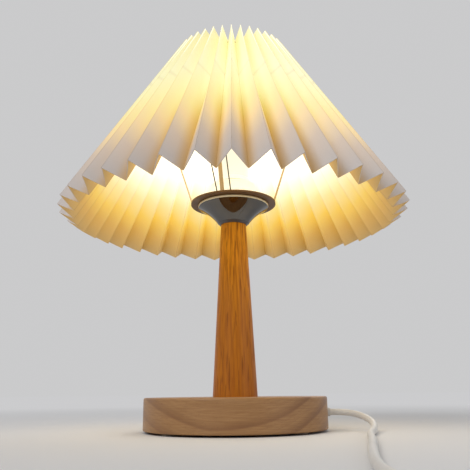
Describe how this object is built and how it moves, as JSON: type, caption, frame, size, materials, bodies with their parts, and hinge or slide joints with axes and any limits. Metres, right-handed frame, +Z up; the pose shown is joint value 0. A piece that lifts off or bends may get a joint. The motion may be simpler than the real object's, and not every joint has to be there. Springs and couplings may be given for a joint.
{
  "type": "pleated table lamp",
  "caption": "Table lamp with a round wooden base, tapered wooden stem, bright cone cup, screw-cap bulb and lift-off pleated shade on a wire carrier, with a mains lead, rocker switch and plug.",
  "frame": {"origin": "on the table, under the middle of the round base", "axes": "+Z up along the stem, -Y towards the viewer of the picture, +X towards the side where the lead leaves the base"},
  "size_m": [0.3711, 0.5115, 0.3416],
  "materials": {
    "base_wood": "satin lacquer over plain-sawn wood with arched growth rings",
    "stem_wood": "satin lacquer over honey-coloured wood with fine upright grain",
    "cover_board": "matt black paint",
    "zinc_steel": "zinc plated",
    "felt": "pressed felt",
    "dark_collar": "dark satin",
    "chrome_plate": "polished chrome plate on spun metal",
    "bright_brass": "pale polished brass",
    "holder_plastic": "moulded ivory plastic",
    "block_ceramic": "white ceramic",
    "contact_brass": "plain stamped brass",
    "cap_insulator": "black glass insulator",
    "nickel": "nickel plated",
    "white_plastic": "moulded white plastic",
    "light_head": "lit warm white",
    "opal_glass": "opal white, lit",
    "shade_film": "pleated translucent off-white film",
    "white_thread": "twisted cotton",
    "bright_wire": "bright drawn wire",
    "bronze_plate": "bronze-brown lacquer",
    "bronze_strip": "light bronze lacquer",
    "lead_jacket": "smooth white insulation",
    "live_jacket": "brown insulation",
    "neutral_jacket": "blue insulation",
    "tie_plastic": "ribbed strap",
    "switch_plastic": "moulded white plastic, satin gloss",
    "sleeve_plastic": "black pin insulation"
  },
  "bodies": {
    "base": {"base_block": "base_wood", "base_cover": "cover_board", "cover_screws": "zinc_steel", "foot_pads": "felt", "stem": "stem_wood", "threaded_rod": "zinc_steel", "foot_washer": "zinc_steel", "foot_nut": "zinc_steel", "stem_collar": "dark_collar", "cup": "chrome_plate", "rim_ring": "bright_brass", "cup_nut": "zinc_steel", "holder_base": "holder_plastic", "holder_body": "holder_plastic", "contact_block": "block_ceramic", "terminal_screws": "contact_brass", "screw_shell": "contact_brass", "centre_contact": "contact_brass", "holder_ring": "holder_plastic", "cord_bush": "white_plastic", "inner_lead": "lead_jacket", "cord_clamp": "white_plastic", "clamp_screws": "zinc_steel", "live_core": "live_jacket", "neutral_core": "neutral_jacket", "cord_lead": "lead_jacket", "cord_coil": "lead_jacket", "cord_tie": "tie_plastic", "cord_tail": "lead_jacket", "cord_end": "lead_jacket", "switch_lower": "switch_plastic", "switch_upper": "switch_plastic", "switch_screw_pair": "zinc_steel", "switch_contacts": "contact_brass", "plug_body": "switch_plastic", "plug_boot": "lead_jacket", "boot_lead": "lead_jacket", "plug_pins": "nickel", "pin_sleeves": "sleeve_plastic"},
    "carrier": {"carrier_plate": "bronze_plate", "carrier_leg_front": "bronze_strip", "carrier_leg_right": "bronze_strip", "carrier_leg_back": "bronze_strip", "carrier_leg_left": "bronze_strip", "carrier_ring": "bright_wire", "stay_wires": "bright_wire"},
    "shade": {"pleated_shade": "shade_film", "draw_thread": "white_thread"},
    "bulb_lift": {"bulb_tip": "contact_brass"},
    "bulb": {"bulb_insulator": "cap_insulator", "bulb_cap": "nickel", "bulb_collar": "white_plastic", "light_source": "light_head", "bulb_globe": "opal_glass"},
    "rocker": {"switch_rocker": "switch_plastic"}
  },
  "joints": [
    {"name": "carrier_turn", "type": "hinge", "parent": "base", "child": "carrier", "pos_m": [0, 0, 0.191], "axis": [0, 0, 1], "continuous": true},
    {"name": "shade_lift", "type": "slide", "parent": "carrier", "child": "shade", "axis": [0, 0, 1], "range_m": [0, 0.12]},
    {"name": "bulb_rise", "type": "slide", "parent": "base", "child": "bulb_lift", "axis": [0, 0, 1], "range_m": [0, 0.0218]},
    {"name": "bulb_turn", "type": "hinge", "parent": "bulb_lift", "child": "bulb", "pos_m": [0, 0, 0.24], "axis": [0, 0, 1], "range_deg": [0, 2160]},
    {"name": "switch_rock", "type": "hinge", "parent": "base", "child": "rocker", "pos_m": [0.14, -0.35, 0.012], "axis": [0, -1, 0], "range_deg": [0, 16]}
  ],
  "couplings": [
    {"joint": "bulb_rise", "follows": "bulb_turn", "m_per_rad": 0.00057751}
  ]
}
